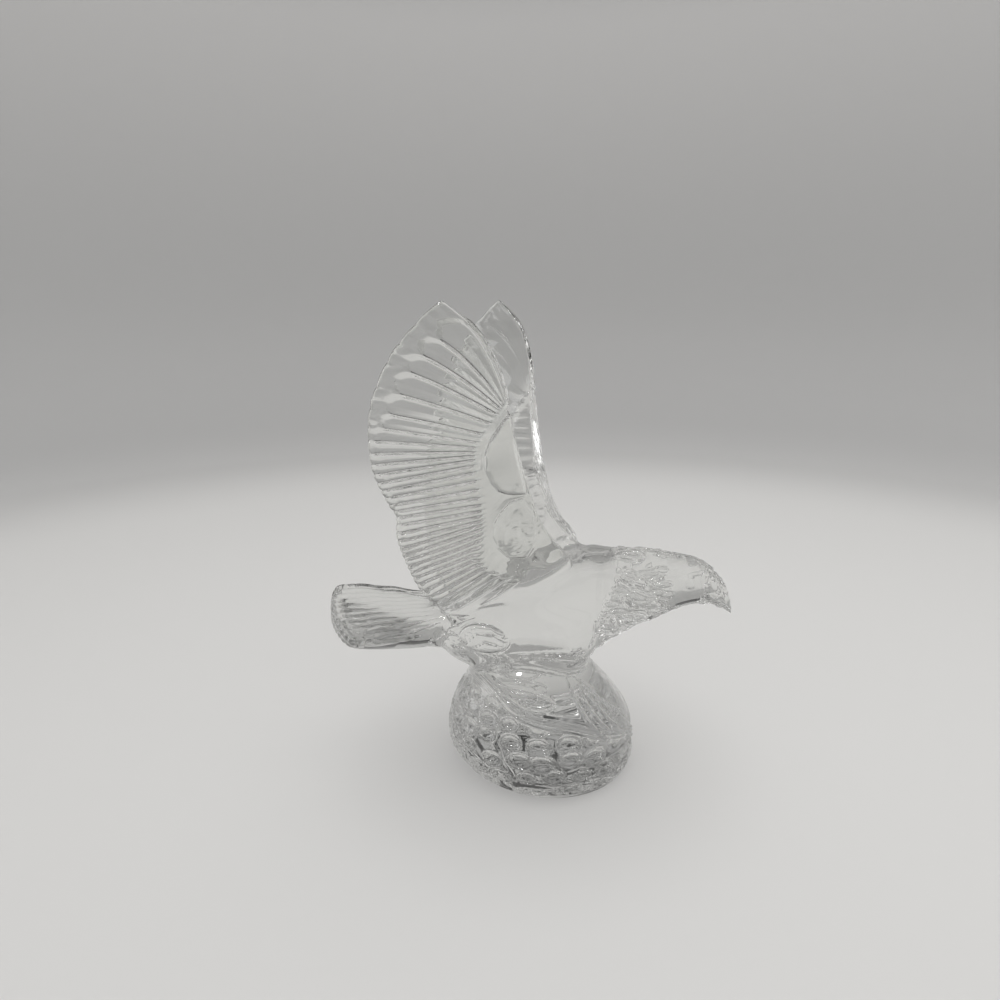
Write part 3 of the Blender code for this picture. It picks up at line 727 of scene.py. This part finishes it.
def feather_tree():
    """Presses the feathers into a wing: its named inputs are the heights of their parts."""
    start, sizes = press_tree("wing_feathers", WING_PRESS[-1])
    share, facing, count, shield, pitch, from_front = read(
        start, "share", "facing", "count", "shield", "pitch", "from_front")
    away = (count.math("FRACT") * 2.0 - 1.0).math("ABSOLUTE")
    broad = 1.0 - count.step(BROAD_FEATHERS - 0.4, BROAD_FEATHERS + 0.6)
    along = (share - FRONT_SHARE) / (1.0 - FRONT_SHARE)
    # A broad feather is a leaf with raised edges and a vein; a narrow one is a rounded rib.
    vein = (away / 0.14).bell()
    broad_rib = (1.0 - away ** 7.0) * (0.55 + 0.45 * away ** 3.0) * BROAD_RIB
    broad_rib = broad_rib - vein * VEIN_DEPTH * (1.0 - along)
    narrow_rib = (1.0 - away ** 4.0) * (1.0 - 0.25 * away * away)
    rib = narrow_rib + (broad_rib - narrow_rib) * broad
    rises = along.step(sizes["Fade"] * 0.35 - 0.01, sizes["Fade"] * 0.88 + 0.07)
    tip = 0.99 - (0.07 + 0.08 * away ** 2.0) * broad
    ends = 1.0 - along.step(tip - 0.05, tip + 0.01)
    rib = rib * rises * ends * (1.0 - count.step(31.0, 32.0))
    place = start.node("GeometryNodeInputPosition")
    rim = (place.noise(520.0, 1.0) - 0.5) * sizes["Rim ripple"]
    rim = rim * along.step(0.86, 0.92) * (1.0 - along.step(0.97, 1.0))
    height = start.node("ShaderNodeSeparateXYZ", {}, {0: place}, output="Z")
    outside = facing.step(-0.1, 0.1)
    plate = shield.step(-0.5, 0.7) * sizes["Shield"]
    fold = (shield + place.noise(140.0, 0.0) * 5.0) * 3.3
    fold = fold.math("COSINE") * shield.step(0.8, 2.0) * (1.0 - above(height, FOLDS_END))
    plate = plate + fold * FOLD_HEIGHT
    belly = ((shield + 5.5) / 4.0).bell() * (1.0 - above(height, BELLY_ENDS))
    plate = plate + belly * (1.0 - share.step(0.34, 0.42)) * BELLY_HEIGHT
    plate = plate - ((shield + 0.7) / 0.7).bell() * SHIELD_GROOVE
    bars = (height * (2 * math.pi / (BAR_PITCH * MM))).math("COSINE").step(-0.35, 0.35)
    bars = bars * from_front.step(1.2, 1.8) * (1.0 - from_front.step(5.0, 6.0))
    bars = bars * above(height, BARS_BEGIN) * (1.0 - above(height, BARS_END))
    raised = (rib * sizes["Outer ribs"] + plate + rim) * outside
    raised = raised + (bars * sizes["Inner bars"] + rim) * (1.0 - outside)
    # Grooves run between the ribs, and on the far wing one runs behind its streaked front edge.
    groove = GROOVE_AT - (1.0 - away) * 0.5 * pitch
    groove = groove * outside * rises * ends * sizes["Cut"]
    low = 1.0 - above(height, STREAKS_END)
    edge = (GROOVE_AT - (from_front - 0.9).math("ABSOLUTE")) * (1.0 - outside) * sizes["Fade"] * low
    groove = groove.math("MAXIMUM", edge)
    strip = (1.0 - from_front.step(0.3, 1.2)) * sizes["Fade"] * (0.2 + 0.8 * low)
    outline = (OUTLINE_AT + shield + 0.3) * outside * (1.0 - share.step(0.42, 0.46)) * sizes["Cut"]
    feathered = keep(push_out(start, raised * MM), "strip", strip)
    feathered = keep(feathered, "groove", groove)
    finish_press(keep(feathered, "outline", outline), crystal)
    return start.tree


feathers = feather_tree()
wings = []
for name, side in (("right_wing", -1), ("left_wing", 1)):
    wings.append(pressed(skin(name, *wing_shape(side)), feathers, WING_PRESS[side]))


# ---- the tail
# The tail is a fan of ridged feathers on top of a wedge that thickens into the rump. It is
# swung to the eagle's right, and a smooth rim closes the feathers' ends.

TAIL_ROOT = (-31.0, -1.0, 51.6)
TAIL_LENGTH = 41.7
TAIL_ROOT_HALF = 6.5
TAIL_HALF = 17.5
TAIL_SWING = math.radians(33.0)
TAIL_RISE = math.radians(8.0)
TAIL_ROLL = math.radians(10.0)
TAIL_FEATHERS = 11
TAIL_CROWN = 2.0
TAIL_HOLLOW = 0.3
TAIL_THICK = ((-0.25, 16.0), (0, 15.5), (0.3, 12.5), (0.6, 9.0), (1, 5.0))
TAIL_END_ROUND = 3.2
TAIL_UNDERCUT = 0.8
TAIL_SCALLOP = 0.6
TAIL_RIM = 0.014
TAIL_PRESS = {"Ridges": 0.85, "Beads": 0.2}
# The beads' wave, in radians from the tail's root to its end.
TAIL_BEAD_WAVE = 22.0


def turn_matrix(axis, angle):
    """A rotation about one of the axes 0, 1 and 2."""
    made = np.eye(3)
    a, b = (axis + 1) % 3, (axis + 2) % 3
    made[a, a] = made[b, b] = math.cos(angle)
    made[a, b], made[b, a] = -math.sin(angle), math.sin(angle)
    return made


def tail_shape():
    """The tail's closed skin before its feathers are pressed, row by row from the rump out."""
    turned = turn_matrix(2, TAIL_SWING) @ turn_matrix(1, TAIL_RISE) @ turn_matrix(0, TAIL_ROLL)
    back, left, up = (turned @ np.array(way) for way in ((-1, 0, 0), (0, 1, 0), (0, 0, 1)))
    # Rows as (share of the length, share of the thickness): the last three round the end off.
    alongs = np.concatenate([[-0.25, -0.12], np.linspace(0, 0.985, 46)])
    rim = [(1.0 - TAIL_RIM * (1 - math.sin(a)), max(math.cos(a), 0.12)) for a in np.radians([30, 60, 90])]
    rows = [(along, 1.0) for along in alongs] + rim
    across_top = np.linspace(-1, 1, TAIL_FEATHERS * 9 + 1)
    across_bottom = np.linspace(1, -1, 33)
    sheet, places, tops = [], [], []
    for along, squeeze in rows:
        reach = max(along, 0.0)
        half = TAIL_ROOT_HALF + (TAIL_HALF - TAIL_ROOT_HALF) * math.sin(math.pi / 2 * min(reach, 1) ** 0.8)
        thick = float(through(TAIL_THICK, along))

        def line(b, top, inset):
            """One row of points across the upper or the lower side, b from -1 to 1."""
            ribbed = np.abs(np.sin(math.pi * (b + 1) / 2 * TAIL_FEATHERS)) ** 0.6
            shorter = TAIL_END_ROUND * (b * b + 0.5 * b ** 14) + TAIL_SCALLOP * (1 - ribbed)
            length = TAIL_LENGTH * along - shorter * reach
            crown = TAIL_CROWN * (1 - b * b) * (1 - reach)
            low = -thick * (1 - TAIL_HOLLOW * b * b * (1 - reach))
            middle = (crown + low) / 2
            high = np.where(top, crown, low)
            level = middle + (high - middle) * squeeze
            return (np.array(TAIL_ROOT) + length[:, None] * back + (half * b * inset)[:, None] * left
                    + level[:, None] * up)

        upper = line(across_top, True, 1.0)
        lower = line(across_bottom, False, 0.5 + (TAIL_UNDERCUT - 0.5) * reach)
        sheet.append(np.concatenate([upper, lower]))
        places.append(np.concatenate([across_top, across_bottom]))
        tops.append(np.concatenate([np.ones_like(across_top), np.zeros_like(across_bottom)]))
    points = np.stack(sheet)
    alongs = np.array([along for along, _ in rows])[:, None] + 0 * points[..., 0]
    return points, {"b": np.stack(places), "top": np.stack(tops), "along": alongs}


tail = skin("tail", *tail_shape())
start, sizes = press_tree("tail_feathers", TAIL_PRESS)
b, top, along = read(start, "b", "top", "along")
feather = (b + 1.0) * (TAIL_FEATHERS / 2)
away = (feather.math("FRACT") * 2.0 - 1.0).math("ABSOLUTE")
beads_start = feather.math("FLOOR").chances(1, 3, 0.0, 6.28)[0]
bead = (along * TAIL_BEAD_WAVE + beads_start).math("SINE") * sizes["Beads"]
ridge = (1.0 - away ** 3.0) * (sizes["Ridges"] + bead)
ridge = ridge * along.step(-0.02, 0.3) * (1.0 - along.step(0.88, 0.94)) * top
groove = GROOVE_AT - (1.0 - away) * 1.4
groove = groove * top * along.step(0.0, 0.1) * (1.0 - along.step(0.85, 0.92))
finish_press(keep(push_out(start, ridge * MM), "groove", groove), crystal)
pressed(tail, start.tree, TAIL_PRESS)


# ---- fused into one piece
# The mould gives all of it in one pour, so the forms are fused into a single skin, and the
# hollows where they meet are filleted as fire-polished glass is.

ONE_POUR = {"Body": body, "Right wing": wings[0], "Left wing": wings[1], "Tail": tail,
            "Rock fillet": 1.5, "Wing fillet": 5.0, "Softening": 40, "Waviness": 0.12}
ROCK_MEETS_BODY = (43, 48)
SHARP_BEND = math.radians(48)

start, sizes = press_tree("one_pour", ONE_POUR)
union = start.tree.nodes.new("GeometryNodeMeshBoolean")
union.operation = "UNION"
union.solver = "MANIFOLD"
start.tree.links.new(start.socket, union.inputs["Mesh 2"])
for label in ("Body", "Right wing", "Left wing", "Tail"):
    form = start.node("GeometryNodeObjectInfo", {}, {"Object": sizes[label]}, output="Geometry")
    start.tree.links.new(form.socket, union.inputs["Mesh 2"])
fused = Wire(start.tree, union.outputs["Mesh"])
seams = Wire(start.tree, union.outputs["Intersecting Edges"])
seams = fused.node("GeometryNodeSeparateGeometry", {"domain": "EDGE"},
                   {"Geometry": fused, "Selection": seams})
away = seams.node("GeometryNodeProximity", {"target_element": "EDGES"}, {"Geometry": seams},
                  output="Distance")
place = start.node("GeometryNodeInputPosition")
level = start.node("ShaderNodeSeparateXYZ", {}, {0: place}, output="Z")
reach = (sizes["Wing fillet"] - sizes["Rock fillet"]) * above(level, ROCK_MEETS_BODY)
reach = sizes["Rock fillet"] + reach
near_seam = 1.0 - away.step(0.0, reach * MM)
relaxed = start.node("GeometryNodeBlurAttribute", {"data_type": "FLOAT_VECTOR"},
                     {"Value": place, "Iterations": sizes["Softening"], "Weight": near_seam})
fused = fused.node("GeometryNodeSetPosition", {}, {"Geometry": fused, "Position": relaxed})
waves = (place.noise(95.0, 0.0) - 0.5) * sizes["Waviness"]
fused = push_out(fused, waves * MM * level.step(0.0, 2 * MM))
fused = fused.node("GeometryNodeSetShadeSmooth", {"domain": "FACE"},
                   {"Geometry": fused, "Shade Smooth": True})
bend = start.node("GeometryNodeInputMeshEdgeAngle", output="Unsigned Angle")
sharp = bend.math("GREATER_THAN", SHARP_BEND + level.step(1 * MM, 2 * MM) * 0.9)
fused = fused.node("GeometryNodeSetShadeSmooth", {"domain": "EDGE"},
                   {"Geometry": fused, "Selection": sharp, "Shade Smooth": False})
finish_press(fused, crystal)
rock.name = "moulded_crystal_eagle"
eagle = pressed(rock, start.tree, ONE_POUR)
for form in (body, tail, *wings):
    bpy.data.objects.remove(form)
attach(eagle, "root")
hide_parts("crystal_eagle")
# Clear glass passes the light on, so it throws no dark shadow of its own.
eagle.visible_shadow = False


# ---- clear lead crystal
# Lead crystal is clear, with a faint grey in its thick parts, and bends light more than window
# glass does. Fine cuts follow the outlines and grooves that the mould left, and streaks run
# down the far wing's front edge.

GLASS_COLOUR = (0.905, 0.91, 0.895)
GLASS_BENDING = 1.55
CUT_HEIGHT = 0.18
# Cuts along a stored line, as (width, depth as a number of cut heights).
OUTLINE_CUT = (0.3, 1.8)
GROOVE_CUT = (0.34, 3.0)
STREAK_CUT = 16.0
STREAK_STRETCH = (0.25, 1.0, 0.12)

crystal.use_nodes = True
shader = crystal.node_tree.nodes["Principled BSDF"]
shader.inputs["Base Color"].default_value = (*GLASS_COLOUR, 1)
shader.inputs["Roughness"].default_value = 0.0
shader.inputs["IOR"].default_value = GLASS_BENDING
shader.inputs["Transmission Weight"].default_value = 1.0
# Any socket of the shader's tree serves to add its nodes from.
start = Wire(crystal.node_tree, shader.outputs[0])
outline, groove, strip = (start.node("ShaderNodeAttribute", {"attribute_name": label}, output="Fac")
                          for label in ("outline", "groove", "strip"))
cut = ((outline - OUTLINE_AT) / OUTLINE_CUT[0]).bell() * OUTLINE_CUT[1]
cut = cut + ((groove - GROOVE_AT) / GROOVE_CUT[0]).bell() * GROOVE_CUT[1]
place = start.node("ShaderNodeTexCoord", output="Object")
place = start.node("ShaderNodeVectorMath", {"operation": "MULTIPLY"}, {0: place, 1: STREAK_STRETCH})
cut = cut + (place.noise(700.0, 2.0) - 0.5) * strip * STREAK_CUT
engraved = start.node("ShaderNodeBump", {},
                      {"Height": cut * -1.0, "Distance": CUT_HEIGHT * MM, "Strength": 1.0})
crystal.node_tree.links.new(engraved.socket, shader.inputs["Normal"])


# ---- table and wall
# The figurine stands on a round pale table, painted dull, whose edge sweeps up into a round
# wall. Under the foot the table is painted a little darker: a painted shadow for the light that the glass
# keeps from it.

TABLE_PROFILE = ((0, 0), (450, 0), (570, 12), (690, 70), (750, 200), (770, 500), (770, 1100))
# The table's top is this far below the glass, so that the two don't lie in one plane.
TABLE_GAP = 0.1
RING_POINTS = 96
# Painted shadow: the table's colour right under the foot, darker than the rest of the table.
PAINTED_FOOT_SHADOW_COLOUR = (0.6, 0.595, 0.585)
TABLE_COLOUR = (0.66, 0.655, 0.645)
WALL_COLOUR = (0.47, 0.468, 0.465)
HIGH_WALL_COLOUR = (0.53, 0.525, 0.52)
TOP_COLOUR = (0.44, 0.44, 0.44)
# Bands over which the next colour takes over, by distance from the middle and by height.
TABLE_BEGINS = (30, 85)
WALL_BEGINS = (380, 620)
HIGH_WALL_BEGINS = (180, 500)
TOP_BEGINS = (460, 560)

paint = bpy.data.materials.new("pale_table")
paint.use_nodes = True
shader = paint.node_tree.nodes["Principled BSDF"]
shader.inputs["Roughness"].default_value = 1.0
shader.inputs["Specular IOR Level"].default_value = 0.0
place = Wire(paint.node_tree, shader.outputs[0]).node("ShaderNodeTexCoord", output="Object")
x, y, z = (place.node("ShaderNodeSeparateXYZ", {}, {0: place}, output=axis) for axis in "XYZ")
away = (x * x + y * y) ** 0.5
# The colours start from the painted shadow under the foot, and the table's own colour takes over outwards.
shade = (*PAINTED_FOOT_SHADOW_COLOUR, 1)
for where, band, colour in ((away, TABLE_BEGINS, TABLE_COLOUR), (away, WALL_BEGINS, WALL_COLOUR),
                            (z, HIGH_WALL_BEGINS, HIGH_WALL_COLOUR), (z, TOP_BEGINS, TOP_COLOUR)):
    shade = place.node("ShaderNodeMix", {"data_type": "RGBA"},
                       {"Factor": above(where, band), 6: shade, 7: (*colour, 1)}, output=2)
paint.node_tree.links.new(shade.socket, shader.inputs["Base Color"])

profile = through(tuple(enumerate(TABLE_PROFILE)), np.linspace(0, len(TABLE_PROFILE) - 1, 60))
out, up = profile[:, :1], profile[:, 1:]
turns = np.linspace(0, 2 * math.pi, RING_POINTS, endpoint=False)
rings = np.stack([out * np.cos(turns), out * np.sin(turns), up - TABLE_GAP + 0 * turns], -1)
table = skin("table", rings, capped=False)
table.data.polygons.foreach_set("use_smooth", [True] * len(table.data.polygons))
table.data.materials.append(paint)


# ---- light
# Soft studio light: a pale room, a wide softbox overhead that lights the table alone, and a
# window and a small lamp that are seen in the glass alone. Places here are in metres.

ROOM_COLOUR = (0.93, 0.92, 0.905)
ROOM_STRENGTH = 0.6

world = bpy.data.worlds.new("studio")
bpy.context.scene.world = world
world.use_nodes = True
world.node_tree.nodes["Background"].inputs["Color"].default_value = (*ROOM_COLOUR, 1)
world.node_tree.nodes["Background"].inputs["Strength"].default_value = ROOM_STRENGTH


def softbox(name, place, aim, size, watts):
    """A rectangular light that the camera itself doesn't see."""
    light = bpy.data.lights.new(name, "AREA")
    light.shape = "RECTANGLE"
    light.size, light.size_y = size
    light.energy = watts
    made = bpy.data.objects.new(name, light)
    bpy.context.scene.collection.objects.link(made)
    made.location = place
    made.visible_camera = False
    made.rotation_euler = (Vector(aim) - Vector(place)).to_track_quat("-Z", "Y").to_euler()
    return made


overhead = softbox("overhead", place=(0.1, -0.05, 1.0), aim=(0, 0, 0.05), size=(0.8, 0.8), watts=7.2)
overhead.visible_transmission = overhead.visible_glossy = False
window = softbox("window", place=(-0.6, -0.1, 0.26), aim=(0, 0, 0.26), size=(0.26, 0.48), watts=0.75)
window.visible_diffuse = False
lamp = softbox("lamp", place=(-0.25, -0.32, 0.72), aim=(0, 0, 0.05), size=(0.1, 0.1), watts=0.9)
lamp.visible_diffuse = False


# ---- black band
# A band of black card hangs round the table. It is seen in the glass alone, and draws the
# dark edges that clear glass shows against a pale room.

BAND_RADIUS = 700
BAND_HEIGHTS = (300, 500)
BAND_COLOUR = (0.05, 0.05, 0.05)

black = bpy.data.materials.new("black_band")
black.use_nodes = True
shader = black.node_tree.nodes["Principled BSDF"]
shader.inputs["Base Color"].default_value = (*BAND_COLOUR, 1)
shader.inputs["Roughness"].default_value = 0.9
x, y = BAND_RADIUS * np.cos(turns), BAND_RADIUS * np.sin(turns)
rings = np.stack([np.stack([x, y, 0 * turns + height], -1) for height in BAND_HEIGHTS])
band = skin("black_band", rings, capped=False)
band.data.materials.append(black)
band.visible_camera = band.visible_diffuse = band.visible_shadow = False


# ---- camera
# The camera stands before the eagle's right side, a little towards its head, and looks down
# on it. Its place is in metres.

CAMERA_PLACE = (0.0347, -0.2337, 0.1555)
CAMERA_TURN = math.radians(12.0)
CAMERA_PITCH = math.radians(15.0)
SENSOR_WIDTH = 36.0
LENS_PER_SENSOR = 0.751

camera_data = bpy.data.cameras.new("camera")
camera_data.sensor_width = SENSOR_WIDTH
camera_data.lens = SENSOR_WIDTH * LENS_PER_SENSOR
camera_data.clip_start = 0.01
camera = bpy.data.objects.new("camera", camera_data)
bpy.context.scene.collection.objects.link(camera)
camera.location = CAMERA_PLACE
camera.rotation_euler = (math.pi / 2 - CAMERA_PITCH, 0, CAMERA_TURN)
scene = bpy.context.scene
scene.camera = camera
scene.view_settings.view_transform = "Standard"
# Light passes many surfaces of glass before it comes out again.
scene.cycles.max_bounces = 32
scene.cycles.transmission_bounces = 32
scene.cycles.glossy_bounces = 12
scene.cycles.caustics_refractive = False
scene.cycles.caustics_reflective = False
